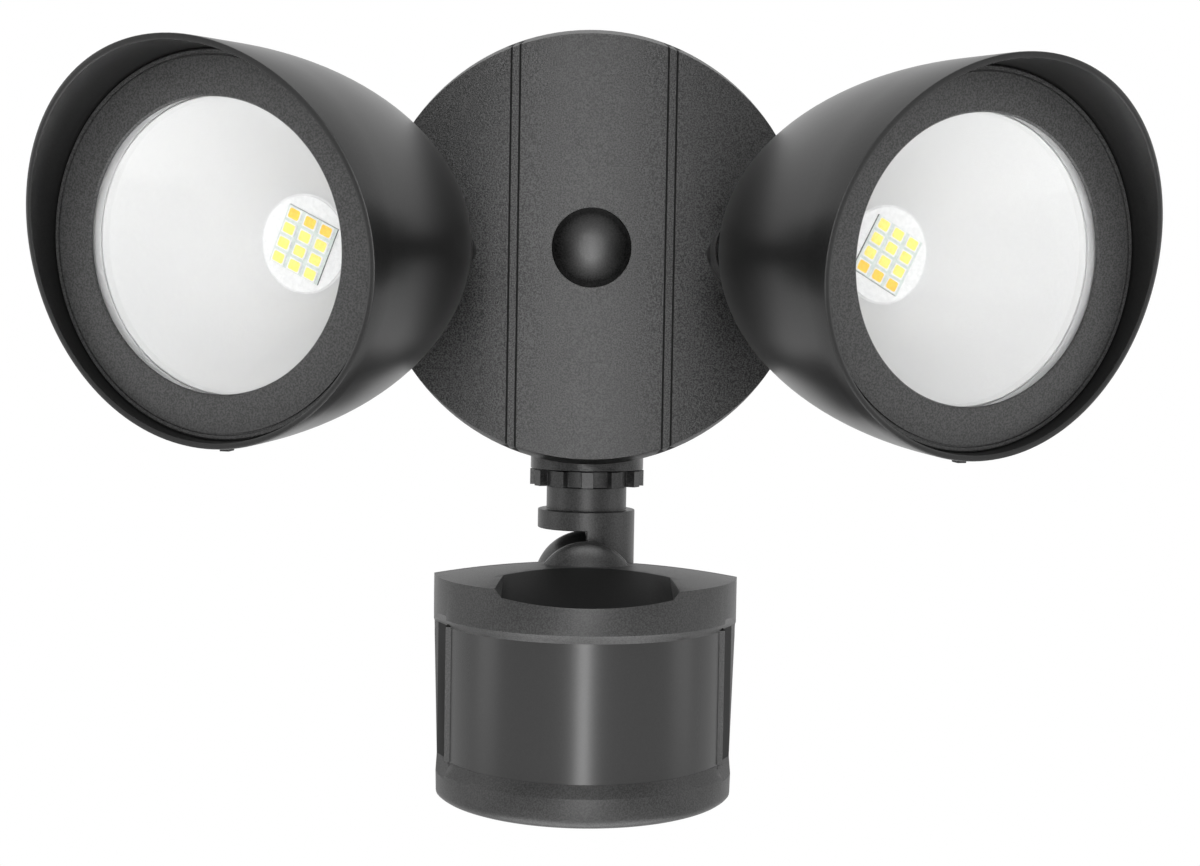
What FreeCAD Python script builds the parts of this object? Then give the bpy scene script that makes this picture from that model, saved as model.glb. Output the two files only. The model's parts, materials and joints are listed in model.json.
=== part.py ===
import FreeCAD, Part
import math
import os
import re
import Sketcher

# Motion sensor security light: round wall canopy, two round lamp heads on knuckle arms and a
# motion sensor hanging below on a knuckle arm. Millimetres, +Z up, wall at Y = 0, front towards -Y.

doc = FreeCAD.newDocument("SecurityLight")
V = FreeCAD.Vector
Rot = FreeCAD.Rotation

SIZES = [
    # canopy
    ("canopy_radius", 63.5, "canopy outer radius"),
    ("canopy_depth", 48, "wall to the middle of the front face"),
    ("canopy_wall", 3, "canopy wall thickness"),
    ("canopy_edge", 2.2, "rounding of the front edge"),
    ("front_bow", 420, "radius of the bowed front face"),
    ("rib_outer", 24.1, "outer vertical groove, distance from the middle"),
    ("rib_inner", 21.55, "inner vertical groove, distance from the middle"),
    ("rib_cut", 0.6, "groove width"),
    ("plug_radius", 11.6, "rubber plug radius"),
    ("plug_rise", 3.6, "height of the plug's dome"),
    ("plug_seat", 4, "depth of the plug's recess"),
    ("bolt_radius", 2.5, "mounting bolt shank radius"),
    ("tube_radius", 8, "outer radius of the bolt tube"),
    ("gasket_thick", 2.5, "wall gasket thickness"),
    ("bar_wide", 14, "width of the crossbar"),
    ("bar_thick", 2, "thickness of the crossbar"),
    ("box_holes", 88.9, "spacing of the box screw slots"),
    ("slot_radius", 2.3, "half width of a box screw slot"),
    ("slot_long", 12, "end to end length of a slot"),
    ("cover_thick", 2, "back cover thickness"),
    ("cover_front", 9.5, "distance of the cover's front face from the wall"),
    ("board_thick", 1.6, "driver board thickness"),
    ("board_back", 30, "distance of the driver board's front face from the wall"),
    # head arms
    ("boss_x", 45.3, "head boss centre, sideways"),
    ("boss_rise", 12.7, "middle of a head boss face ahead of the front face"),
    ("boss_z", -1.2, "head boss centre, height"),
    ("boss_radius", 10.8, "head boss radius"),
    ("boss_deep", 24.2, "length of the bore through a head boss"),
    ("head_yaw", 23, "outward angle of each head"),
    ("head_pitch", 5.5, "downward angle of each head"),
    ("shank_radius", 7.5, "radius of a head arm's threaded shank"),
    ("run_gap", 0.06, "radial running clearance"),
    ("nut_height", 4.2, "height of a head lock nut"),
    ("nut_radius", 10.2, "head lock nut body radius"),
    ("nut_tooth", 11.4, "head lock nut radius over the teeth"),
    ("nut_gap", 1, "clearance behind a head lock nut"),
    ("knuckle_radius", 9.6, "head knuckle radius"),
    ("knuckle_half", 8.6, "head knuckle width each side of the lap"),
    ("knuckle_reach", 17, "boss face to head pivot"),
    ("lap_gap", 0.1, "half lap clearance"),
    # heads, distances from the head pivot towards the front
    ("head_radius", 45, "head shell outer radius"),
    ("dome_start", 10.2, "pivot to the flat back of the shell"),
    ("face_ahead", 88, "pivot to the bezel face"),
    ("band_long", 2, "straight band behind the bezel face"),
    ("dome_stretch", 1.187, "dome ellipsoid half length over the dome's own length"),
    ("shell_wall", 3.2, "shell wall behind the bezel"),
    ("hood_wall", 1.5, "shell wall at the visor"),
    ("visor_top", 15.4, "how far the visor stands ahead of the bezel at the top"),
    ("visor_side", 6.8, "how far the visor stands ahead of the bezel at the sides"),
    ("visor_curve", 323, "radius of the visor's front cut seen from the side"),
    ("bezel_thick", 4.8, "bezel thickness"),
    ("bezel_lip", 1.8, "bezel lip in front of the lens"),
    ("bezel_wide", 12, "shell's outer edge to the visible edge of the lens"),
    ("glass_tuck", 4.4, "how far the lens reaches behind the bezel"),
    ("glass_thick", 3, "lens thickness"),
    ("seal_thick", 1.2, "lens seal thickness"),
    ("cone_back", 39.5, "bezel face to the front of the lamp board"),
    ("cone_hole", 12.2, "radius of the hole at the back of the reflector"),
    ("cone_wall", 1.2, "reflector wall"),
    ("led_long", 3.5, "lamp package length"),
    ("led_wide", 2.8, "lamp package width"),
    ("led_high", 0.7, "lamp package height"),
    ("led_pitch_long", 5.2, "lamp pitch along the long side"),
    ("led_pitch_wide", 4.0, "lamp pitch along the short side"),
    ("led_turn", 22, "turn of the lamp rows, clockwise from the front"),
    ("led_board_radius", 19.6, "lamp board radius"),
    ("screw_ring", 17, "distance of the lamp board screws from the axis"),
    ("carrier_thick", 3, "heat spreader thickness"),
    # sensor arm
    ("stem_boss", 17.2, "radius of the boss under the canopy"),
    ("stem_rise", 2.1, "how far that boss stands below the canopy"),
    ("stem_shank", 11, "radius of the sensor arm's threaded shank"),
    ("collar_height", 4.7, "height of the sensor lock nut"),
    ("collar_radius", 14.8, "sensor lock nut body radius"),
    ("collar_tooth", 17.3, "sensor lock nut radius over the teeth"),
    ("neck_radius", 12.2, "sensor arm neck radius"),
    ("neck_long", 12.5, "boss under the canopy to the arm's flange"),
    ("flange_thick", 5.7, "thickness of the arm's flange"),
    ("flange_radius", 14.8, "flange radius"),
    ("pivot_below", 16.8, "sensor pivot below the arm's flange"),
    ("ear_radius", 15.7, "radius of the sensor's round ear"),
    ("screw_radius", 2.5, "sensor pivot screw radius"),
    # sensor, distances from the sensor pivot
    ("eye_centre", 11, "centre of the curved front ahead of the pivot"),
    ("eye_radius", 45.2, "radius of the curved front, and half width"),
    ("eye_wall", 2, "sensor wall"),
    ("eye_taper", 2.3, "how much narrower each side is at the bottom"),
    ("eye_back", 17.5, "flat back of the sensor behind the pivot"),
    ("back_half", 22, "half width of the flat back"),
    ("back_rise", 34, "height of the slope under the back"),
    ("eye_top", 8.1, "top of the sensor above the pivot"),
    ("eye_bottom", 61.1, "bottom of the sensor below the pivot"),
    ("crown_radius", 253, "radius of the crowned top"),
    ("window_top", 10, "top of the window below the pivot"),
    ("window_bottom", 48.9, "bottom of the window below the pivot"),
    ("window_angle", 128, "angle that the window spans"),
    ("seam_ahead", 15.5, "joint between front and rear housing ahead of the pivot"),
    ("scoop_half", 23.8, "half width of the dished top's floor"),
    ("dial_radius", 5.5, "control dial radius"),
    ("dial_apart", 16, "control dial distance from the middle"),
    ("dial_ahead", 28.1, "control dials ahead of the pivot"),
    ("board_ahead", 22, "back of the sensor board ahead of the pivot"),
]
sheet = doc.addObject("Spreadsheet::Sheet", "Sizes")
for row, (alias, value, note) in enumerate(SIZES, 1):
    sheet.set("A%d" % row, note)
    sheet.set("B%d" % row, str(value))
    sheet.setAlias("B%d" % row, alias)
doc.recompute()
ALIASES = set(entry[0] for entry in SIZES)

# places that follow from other sizes
FOLLOWS = {
    "bar_half": "(canopy_radius-11.5)",
    "post_ring": "(canopy_radius-13.5)",
    "board_low": "(canopy_radius-47.5)",
    "boss_y": "(canopy_depth+boss_rise)",
    "window_radius": "(head_radius-bezel_wide)",
    "glass_radius": "(head_radius-bezel_wide+glass_tuck)",
    "carrier_radius": "(head_radius-11)",
    "dome_long": "((face_ahead-band_long-dome_start)*dome_stretch)",
    "stem_y": "(canopy_depth*0.5625)",
    "stem_top": "(canopy_radius+stem_rise)",
    "flange_top": "(canopy_radius+stem_rise+neck_long)",
    "flange_bottom": "(canopy_radius+stem_rise+neck_long+flange_thick)",
    "tilt_drop": "(canopy_radius+stem_rise+neck_long+flange_thick+pivot_below)",
}

FRONT = Rot(V(1, 0, 0), 90)     # turns a primitive's height towards -Y
BACK = Rot(V(1, 0, 0), -90)     # towards +Y
RIGHT = Rot(V(0, 1, 0), 90)     # towards +X
DOWN = Rot(V(1, 0, 0), 180)     # towards -Z
NODES = []


def text(value):
    """Expression text, with the sheet's name before each alias."""
    whole = re.sub(r"[a-z][a-z_]*", lambda word: FOLLOWS.get(word.group(0), word.group(0)),
                   str(value))
    return re.sub(r"[a-z][a-z_]*", lambda word: "Sizes." + word.group(0)
                  if word.group(0) in ALIASES else word.group(0), whole)


def place(item, at=(0, 0, 0), turn=None):
    if turn is not None:
        item.Placement = FreeCAD.Placement(V(0, 0, 0), turn)
    for axis, value in zip("xyz", at):
        if value != 0:
            item.setExpression("Placement.Base." + axis, text(value))
    return item


def solid(kind, at=(0, 0, 0), turn=None, **sizes):
    """A Part primitive with its sizes and position bound to the sheet."""
    item = doc.addObject("Part::" + kind, kind)
    for name, value in sizes.items():
        item.setExpression(name, text(value))
    return place(item, at, turn)


def rod(radius, length, at=(0, 0, 0), turn=None):
    return solid("Cylinder", at, turn, Radius=radius, Height=length)


def block(length, width, height, at=(0, 0, 0), turn=None):
    return solid("Box", at, turn, Length=length, Width=width, Height=height)


def join(*parts):
    item = doc.addObject("Part::MultiFuse", "Join")
    item.Shapes = list(parts)
    item.Refine = True
    return item


def cut(base, *tools):
    item = doc.addObject("Part::Cut", "Cut")
    item.Base = base
    item.Tool = tools[0] if len(tools) == 1 else join(*tools)
    item.Refine = True
    return item


def both(*parts):
    item = doc.addObject("Part::MultiCommon", "Both")
    item.Shapes = list(parts)
    item.Refine = True
    return item


def group(parts):
    item = doc.addObject("Part::Compound", "Group")
    item.Links = parts
    return item


def outline(body, points, turn):
    """A closed sketch whose corners are each held at a sheet-bound X and Y."""
    sketch = body.newObject("Sketcher::SketchObject", "Sketch")
    if turn is not None:
        sketch.Placement = FreeCAD.Placement(V(0, 0, 0), turn)
    count = len(points)
    ring = [V(20 * math.cos(2 * math.pi * k / count), 20 * math.sin(2 * math.pi * k / count), 0)
            for k in range(count)]
    sketch.addGeometry([Part.LineSegment(ring[k], ring[(k + 1) % count]) for k in range(count)],
                       False)
    rules = []
    for k in range(count):
        rules.append(Sketcher.Constraint("Coincident", k, 2, (k + 1) % count, 1))
    for k in range(count):
        rules.append(Sketcher.Constraint("DistanceX", -1, 1, k, 1, ring[k].x))
        rules.append(Sketcher.Constraint("DistanceY", -1, 1, k, 1, ring[k].y))
    sketch.addConstraint(rules)
    for k, (across, along) in enumerate(points):
        sketch.setExpression("Constraints[%d]" % (count + 2 * k), text(across))
        sketch.setExpression("Constraints[%d]" % (count + 2 * k + 1), text(along))
    return sketch


def turned(points, turn=None, angle=360, at=(0, 0, 0)):
    """A turned body: points are (radius, position along the axis). The axis is Y, or Z with UPRIGHT."""
    body = doc.addObject("PartDesign::Body", "Turned")
    sketch = outline(body, points, turn)
    lathe = body.newObject("PartDesign::Revolution", "Revolution")
    lathe.Profile = sketch
    lathe.ReferenceAxis = (sketch, ["V_Axis"])
    lathe.setExpression("Angle", text(angle))
    if angle != 360:
        lathe.Midplane = True
    body.Tip = lathe
    return place(body, at)


def padded(points, length, turn=None, at=(0, 0, 0), middle=False):
    """A straight body: a closed outline pushed along its own normal."""
    body = doc.addObject("PartDesign::Body", "Padded")
    sketch = outline(body, points, turn)
    pad = body.newObject("PartDesign::Pad", "Pad")
    pad.Profile = sketch
    pad.Midplane = middle
    pad.setExpression("Length", text(length))
    body.Tip = pad
    return place(body, at)


def node(item, name, placement=None):
    """Marks an object as a piece of the light, and puts it where it belongs."""
    item.Label = name
    if placement:
        item.setExpression("Placement", text(placement))
    NODES.append(item)
    return item


def ring(outer, inner, length, at=(0, 0, 0), turn=None):
    return cut(rod(outer, length, at, turn), rod(inner, length, at, turn))


UPRIGHT = Rot(V(1, 0, 0), 90)    # a sketch in the XZ plane
SIDE = Rot(V(1, 1, 1), 120)      # a sketch in the YZ plane, pushed along X


def toothed(body_radius, tooth_radius, bore, height, count, wide, turn, at=(0, 0, 0)):
    """A ribbed lock nut along the local axis given by turn."""
    parts = [rod(body_radius, height)]
    for k in range(count):
        bar = block(tooth_radius + "-" + body_radius + "+2", wide, height)
        bar.Placement = FreeCAD.Placement(V(0, 0, 0), Rot(V(0, 0, 1), 360.0 * k / count))
        angle = 360.0 * k / count
        bar.setExpression("Placement.Base.x", text(
            "cos(%r)*(%s-2)+sin(%r)*%s/2" % (angle, body_radius, angle, wide)))
        bar.setExpression("Placement.Base.y", text(
            "sin(%r)*(%s-2)-cos(%r)*%s/2" % (angle, body_radius, angle, wide)))
        parts.append(bar)
    nut = cut(join(*parts), rod(bore, height + "+2", (0, 0, "-1")))
    holder = group([nut])
    return place(holder, at, turn)


def retaining_clip(inner, outer, thick, at, turn):
    gap = block(outer + "+2", "7", thick + "+2", (0, "-3.5", "-1"))
    clip = cut(ring(outer, inner, thick), gap)
    return place(group([clip]), at, turn)


# ---------------------------------------------------------------- canopy
def canopy():
    body = doc.addObject("PartDesign::Body", "Canopy")
    disc = outline(body, [
        (0, "-canopy_depth-1"), ("canopy_radius-canopy_edge", "-canopy_depth-1"),
        ("canopy_radius", "-canopy_depth+canopy_edge+1"), ("canopy_radius", "-gasket_thick"),
        ("canopy_radius-canopy_wall", "-gasket_thick"),
        ("canopy_radius-canopy_wall", "-canopy_depth+canopy_wall+5"),
        (0, "-canopy_depth+canopy_wall")], None)
    lathe = body.newObject("PartDesign::Revolution", "Revolution")
    lathe.Profile = disc
    lathe.ReferenceAxis = (disc, ["V_Axis"])
    body.Tip = lathe
    bowed = rod("front_bow", "4*canopy_radius", ("0", "front_bow-canopy_depth", "-2*canopy_radius"))
    shell = both(body, bowed)

    adds = [rod("tube_radius+7", "14", (0, "-canopy_depth+15", 0), FRONT),
            rod("tube_radius", "canopy_depth-7", (0, "-6.5", 0), FRONT),
            both(rod("stem_boss", "14", (0, "-stem_y", "-stem_top")),
                 block("60", "stem_y+22-cover_front-0.2", "60", ("-30", "-stem_y-22", "-stem_top")))]
    cuts = [rod("plug_radius+0.05", "plug_seat+10", (0, "-canopy_depth+plug_seat", 0), FRONT),
            rod("bolt_radius*2.2", "3", (0, "-canopy_depth+plug_seat+2.5", 0), FRONT),
            rod("bolt_radius+0.3", "canopy_depth+10", (0, "0", 0), FRONT),
            rod("stem_shank+run_gap", "20", (0, "-stem_y", "-stem_top-2")),
            rod("stem_boss-3.6", "2", (0, "-stem_y", "-stem_top+14.05")),
            rod("stem_shank+2.7", "4", (0, "-stem_y", "-stem_top+15"))]
    for side, way in (("left", -1), ("right", 1)):
        stub = rod("boss_radius", "60", ("%d*boss_x" % way, "-canopy_depth+6", "boss_z"), FRONT)
        behind = block("80", "60", "80", ("-40", "0", "-40"))
        behind.setExpression("Placement", text(arm_frame(way) + " * placement(vector(-40; 0; -40);"
                                               " rotation(vector(0; 0; 1); 0))"))
        adds.append(both(stub, behind))
        for radius, length, start, into in (
                ("boss_radius", "boss_deep-0.6", "boss_deep", adds),
                ("shank_radius+run_gap", "boss_deep+9", "boss_deep+1", cuts)):
            tool = rod(radius, length)
            tool.setExpression("Placement", text(
                arm_frame(way) + " * placement(vector(0; %s; 0); rotation(vector(1; 0; 0); 90))"
                % start))
            if into is adds:
                tool = both(tool, block("200", "30", "200", ("-100", "-canopy_depth+4", "-100")))
            into.append(tool)
    for turn in (90, 210, 330):
        spot = ("cos(%d)*post_ring" % turn, "-cover_front", "sin(%d)*post_ring" % turn)
        adds.append(rod("3.6", "canopy_depth-cover_front-2", spot, FRONT))
        cuts.append(rod("1.3", "9", (spot[0], "-cover_front+0.5", spot[2]), FRONT))
    for across in (-24, 24):
        spot = (across, "-board_back", "board_low+8")
        adds.append(rod("3", "canopy_depth-board_back-1", spot, FRONT))
        cuts.append(rod("1.1", "7", (across, "-board_back+0.5", "board_low+8"), FRONT))
    for place_x in ("rib_outer", "rib_inner"):
        for way in ("-", ""):
            cuts.append(block("rib_cut", "12", "4*canopy_radius",
                              ("%s%s-rib_cut/2" % (way, place_x),
                               "-canopy_depth-11.4+%s^2/front_bow/2" % place_x,
                               "-2*canopy_radius")))
    outside = both(join(shell, *adds[:2]), bowed)
    rest = join(outside, *adds[2:])
    node(cut(rest, *cuts), "canopy_housing")

    cap = both(solid("Sphere", (0, "-canopy_depth-plug_rise+(plug_radius^2+plug_rise^2)/(2*plug_rise)",
                                0), None, Radius="(plug_radius^2+plug_rise^2)/(2*plug_rise)"),
               rod("plug_radius", "plug_rise+1", (0, "-canopy_depth+0.02", 0), FRONT))
    skirt = ring("plug_radius", "plug_radius-2", "plug_seat", (0, "-canopy_depth+plug_seat", 0), FRONT)
    node(join(cap, skirt), "screw_plug")

    head = cut(rod("bolt_radius*2", "3", (0, "-canopy_depth+plug_seat+2.5", 0), FRONT),
               block("1.2", "1.6", "8", ("-0.6", "-canopy_depth+plug_seat-1", "-4")))
    node(join(head, rod("bolt_radius", "canopy_depth-plug_seat-3.2",
                        (0, "-canopy_depth+plug_seat+2.4", 0), BACK)), "mounting_bolt")

    lip = ring("canopy_radius-canopy_wall-0.1", "canopy_radius-canopy_wall-2", "3.5",
               (0, "-gasket_thick+0.1", 0), FRONT)
    node(join(ring("canopy_radius-0.4", "canopy_radius-canopy_wall-4", "gasket_thick",
                   (0, 0, 0), FRONT), lip), "wall_gasket")

    bar = both(block("2*bar_half", "bar_thick", "bar_wide", ("-bar_half", "-bar_thick", "-bar_wide/2")),
               rod("bar_half", "bar_thick", (0, 0, 0), FRONT))
    holes = [rod("bolt_radius+0.05", "12", (0, "1", 0), FRONT),
             rod("1.8", "12", ("-24", "1", 0), FRONT)]
    for way in ("-", ""):
        holes.append(block("slot_long-2*slot_radius", "12", "2*slot_radius",
                           ("%sbox_holes/2-slot_long/2+slot_radius" % way, "-11", "-slot_radius")))
        for end in ("-", "+"):
            holes.append(rod("slot_radius", "12", ("%sbox_holes/2%s(slot_long/2-slot_radius)"
                                                  % (way, end), "1", 0), FRONT))
    node(cut(join(bar, rod("5.5", "6.3", (0, 0, 0), FRONT)), *holes), "mounting_crossbar")
    node(join(rod("1.75", "5", ("-24", "-0.2", 0), FRONT),
              solid("Prism", ("-24", "-bar_thick-0.1", 0), FRONT, Circumradius="4.2", Height="2.4")),
         "ground_screw")

    plate = rod("canopy_radius-canopy_wall-2.6", "cover_thick", (0, "-cover_front+cover_thick", 0),
                FRONT)
    holes = [rod("tube_radius+4", "8", (0, "-4", 0), FRONT), rod("7", "8", ("0", "-4", "-30"), FRONT)]
    screws = []
    for turn in (90, 210, 330):
        across, up = "cos(%d)*post_ring" % turn, "sin(%d)*post_ring" % turn
        holes.append(rod("1.6", "8", (across, "-4", up), FRONT))
        screws.append(join(rod("2.8", "1.8", (across, "-cover_front+cover_thick+1.8", up), FRONT),
                           rod("1.25", "9", (across, "-cover_front+cover_thick+0.2", up), FRONT)))
    node(cut(plate, *holes), "back_cover")
    node(group(screws), "back_cover_screws")

    board = block("64", "board_thick", "30", ("-32", "-board_back", "board_low"))
    node(cut(board, rod("1.5", "8", ("-24", "-board_back+4", "board_low+8"), FRONT),
             rod("1.5", "8", ("24", "-board_back+4", "board_low+8"), FRONT)), "driver_board")
    rear = "-board_back+board_thick"
    node(group([
        rod("5", "15.5", ("-16", rear, "board_low+20"), BACK),
        rod("4", "12", ("-4", rear, "board_low+22"), BACK),
        block("15", "13", "13", ("4", rear, "board_low+11")),
        block("12", "14", "9", ("-12", rear, "board_low+3")),
        block("5", "8", "12", ("22", rear, "board_low+14")),
        rod("4.5", "6", ("11", rear, "board_low+5"), BACK)]),
        "driver_components")

    seals = []
    for way in (-1, 1):
        seal = ring("boss_radius-1.5", "shank_radius+0.1", "1.8")
        seal.setExpression("Placement", text(
            arm_frame(way) + " * placement(vector(0; boss_deep+1.9; 0);"
                             " rotation(vector(1; 0; 0); 90))"))
        seals.append(seal)
    seals.append(ring("stem_boss-3.8", "stem_shank+0.1", "1.8", (0, "-stem_y", "-stem_top+14.1")))
    node(group(seals), "boss_seals")


# ---------------------------------------------------------------- lamp heads
def arm_frame(way):
    return ("placement(vector(%d*boss_x; -boss_y; boss_z); rotation(vector(0; 0; 1); %d*head_yaw))"
            % (way, way))


def head_frame(way):
    return arm_frame(way) + (" * placement(vector(0; -knuckle_reach; 0);"
                             " rotation(vector(1; 0; 0); head_pitch))")


def lamp_head(side, way):
    arm_at, head_at = arm_frame(way), head_frame(way)

    shank = cut(join(rod("shank_radius", "boss_deep+5+nut_height+nut_gap", (0, "boss_deep+4.6", 0), FRONT),
                     rod("nut_radius", "1.8", (0, "-nut_height-nut_gap-0.2", 0), FRONT)),
                ring("shank_radius+1", "shank_radius-1.2", "1.2", (0, "boss_deep+3.4", 0), FRONT),
                rod("4.2", "boss_deep+6+nut_height", (0, "boss_deep+5", 0), FRONT))
    lug = join(block("knuckle_half-lap_gap", "knuckle_reach-nut_height-nut_gap-0.8", "2*knuckle_radius",
                     ("lap_gap", "-knuckle_reach", "-knuckle_radius")),
               rod("knuckle_radius", "knuckle_half-lap_gap", ("lap_gap", "-knuckle_reach", 0), RIGHT))
    lug = both(lug, rod("nut_radius", "60", (0, 0, 0), FRONT))
    node(cut(join(shank, lug), rod("2.55", "30", ("-1", "-knuckle_reach", 0), RIGHT),
             solid("Prism", ("knuckle_half-3", "-knuckle_reach", 0), RIGHT, Circumradius="4.7",
                   Height="9")), side + "_arm", arm_at)
    nut = toothed("nut_radius", "nut_tooth", "shank_radius+run_gap", "nut_height", 12, "2.4", FRONT,
                  (0, "-nut_gap", 0))
    node(group([nut]), side + "_lock_nut", arm_at)
    clip = retaining_clip("shank_radius-1.1", "shank_radius+2.2", "1", (0, "boss_deep+3.3", 0), FRONT)
    node(group([clip]), side + "_arm_clip", arm_at)
    node(join(cut(rod("4.4", "2.8", ("-knuckle_half+0.1", "-knuckle_reach", 0), RIGHT),
                  block("1.6", "8", "1.2", ("-knuckle_half-0.5", "-knuckle_reach-4", "-0.6"))),
              rod("2.5", "2*knuckle_half-3.2", ("-knuckle_half+2.8", "-knuckle_reach", 0), RIGHT)),
         side + "_pivot_screw", arm_at)
    node(cut(solid("Prism", ("knuckle_half-2.95", "-knuckle_reach", 0), RIGHT, Circumradius="4.6",
                   Height="2.6"),
             rod("2.55", "9", ("knuckle_half-4", "-knuckle_reach", 0), RIGHT)),
         side + "_pivot_nut", arm_at)

    middle = "-face_ahead+band_long"
    outer = join(rod("head_radius", "band_long+visor_top+2", (0, middle, 0), FRONT),
                 both(solid("Ellipsoid", (0, middle, 0), FRONT, Radius1="dome_long",
                            Radius2="head_radius", Angle1="-90", Angle2="0"),
                      rod("head_radius+5", "face_ahead", (0, "-dome_start", 0), FRONT)))
    inner = join(rod("head_radius-shell_wall", "band_long+1", (0, middle, 0), FRONT),
                 both(solid("Ellipsoid", (0, middle, 0), FRONT,
                            Radius1="dome_long-shell_wall+0.6", Radius2="head_radius-shell_wall",
                            Angle1="-90", Angle2="0"),
                      rod("head_radius+5", "face_ahead", (0, "-dome_start-3", 0), FRONT)),
                 rod("head_radius-hood_wall", "bezel_thick+visor_top+9",
                     (0, "-face_ahead+bezel_thick", 0), FRONT))
    slope = "(visor_top-visor_side)*0.743/head_radius"
    visor = rod("visor_curve", "4*head_radius",
                ("-2*head_radius",
                 "-face_ahead-visor_side-visor_curve/sqrt(1+(%s)^2)" % slope,
                 "-visor_curve*%s/sqrt(1+(%s)^2)" % (slope, slope)), RIGHT)
    ear = join(rod("knuckle_radius", "knuckle_half-lap_gap", ("-knuckle_half", 0, 0), RIGHT),
               block("knuckle_half-lap_gap", "dome_start+1.5", "2*knuckle_radius",
                     ("-knuckle_half", "-dome_start-1.5", "-knuckle_radius")))
    posts = [both(rod("3.2", "60", ("cos(%d)*(head_radius-17)" % turn,
                                  "-face_ahead+cone_back+board_thick+carrier_thick+60",
                                  "sin(%d)*(head_radius-17)" % turn), FRONT), outer)
             for turn in (90, 210, 330)]
    nub = block("2.4", "2.2", "2", ("-1.2", "-face_ahead+1", "-head_radius-0.6"))
    shell = cut(join(outer, nub), inner)
    shell = join(shell, ear, *posts)
    node(cut(shell, visor, rod("2.55", "30", ("-20", 0, 0), RIGHT),
             rod("4.5", "10", ("-knuckle_half-7.05", 0, 0), RIGHT)), side + "_head_housing", head_at)

    def at(depth):
        return "-face_ahead+%s" % depth

    node(turned([("window_radius+0.7", at(0)), ("head_radius-hood_wall-0.6", at(0)),
                 ("head_radius-hood_wall-0.1", at(0.5)), ("head_radius-hood_wall-0.1", at("bezel_thick")),
                 ("glass_radius+0.1", at("bezel_thick")), ("glass_radius+0.1", at("bezel_lip")),
                 ("window_radius", at("bezel_lip")), ("window_radius", at(0.7))]),
         side + "_bezel", head_at)
    node(turned([(0, at("bezel_lip")), ("glass_radius", at("bezel_lip")),
                 ("glass_radius", at("bezel_lip+glass_thick")), (0, at("bezel_lip+glass_thick"))]),
         side + "_lens", head_at)
    rim = "bezel_lip+glass_thick"
    node(turned([("glass_radius-3", at(rim)), ("glass_radius", at(rim)),
                 ("glass_radius", at(rim + "+seal_thick")),
                 ("glass_radius-3", at(rim + "+seal_thick"))]), side + "_lens_seal", head_at)
    start = rim + "+seal_thick"
    span = "(cone_back-%s)" % start.replace("+", "-")
    steps = [(0.0, 1.0), (0.18, 0.872), (0.38, 0.71), (0.58, 0.52), (0.78, 0.29), (0.9, 0.138),
             (1.0, 0.0)]
    mouth = "(glass_radius-3.6-cone_hole)"
    inside = [("cone_hole+%s*%s" % (mouth, part), at("%s+%s*%s" % (start, span, depth)))
              for depth, part in steps]
    outside = [("cone_hole+cone_wall+%s*%s" % (mouth, part),
                at("%s+%s*%s" % (start, span, depth))) for depth, part in reversed(steps)]
    outside[-1] = ("cone_hole+cone_wall+%s+1.2" % mouth, at(start + "+1.2"))
    node(turned(inside + outside + [("glass_radius", at(start + "+1.2")), ("glass_radius", at(start))]),
         side + "_reflector", head_at)

    board_at = at("cone_back+board_thick")
    drill = [rod("1.3", "20", ("cos(%d)*screw_ring" % turn, board_at.replace("board_thick", "12"),
                               "sin(%d)*screw_ring" % turn), FRONT) for turn in (30, 150, 270)]
    node(cut(rod("led_board_radius", "board_thick", (0, board_at, 0), FRONT), *drill),
         side + "_led_board", head_at)
    chips = []
    for column in range(3):
        for line in range(4):
            across = "(%d*led_pitch_long)" % (column - 1)
            up = "(%r*led_pitch_wide)" % (line - 1.5)
            chip = block("led_long", "led_high", "led_wide")
            chip.setExpression("Placement", text(
                "placement(vector(0; -face_ahead+cone_back-led_high; 0);"
                " rotation(vector(0; 1; 0); led_turn))"
                " * placement(vector(%s-led_long/2; 0; %s-led_wide/2); rotation(vector(0; 0; 1); 0))"
                % (across, up)))
            chips.append(chip)
    node(group(chips), side + "_led_chips", head_at)
    carrier_at = at("cone_back+board_thick+carrier_thick")
    drill = [rod("1.3", "20", ("cos(%d)*screw_ring" % turn, carrier_at.replace("carrier_thick", "12"),
                               "sin(%d)*screw_ring" % turn), FRONT) for turn in (30, 150, 270)]
    fins = [block("1.6", "7", "44", ("%d-0.8" % across, carrier_at, "-22")) for across in (-12, -4, 4, 12)]
    node(cut(join(rod("carrier_radius", "carrier_thick", (0, carrier_at, 0), FRONT), *fins), *drill),
         side + "_led_carrier", head_at)
    node(group([join(rod("2.2", "1", ("cos(%d)*screw_ring" % turn, at("cone_back"),
                                      "sin(%d)*screw_ring" % turn), FRONT),
                     rod("1.25", "4.4", ("cos(%d)*screw_ring" % turn, at("cone_back+4.3"),
                                         "sin(%d)*screw_ring" % turn), FRONT))
                for turn in (30, 150, 270)]),
         side + "_board_screws", head_at)


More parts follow.
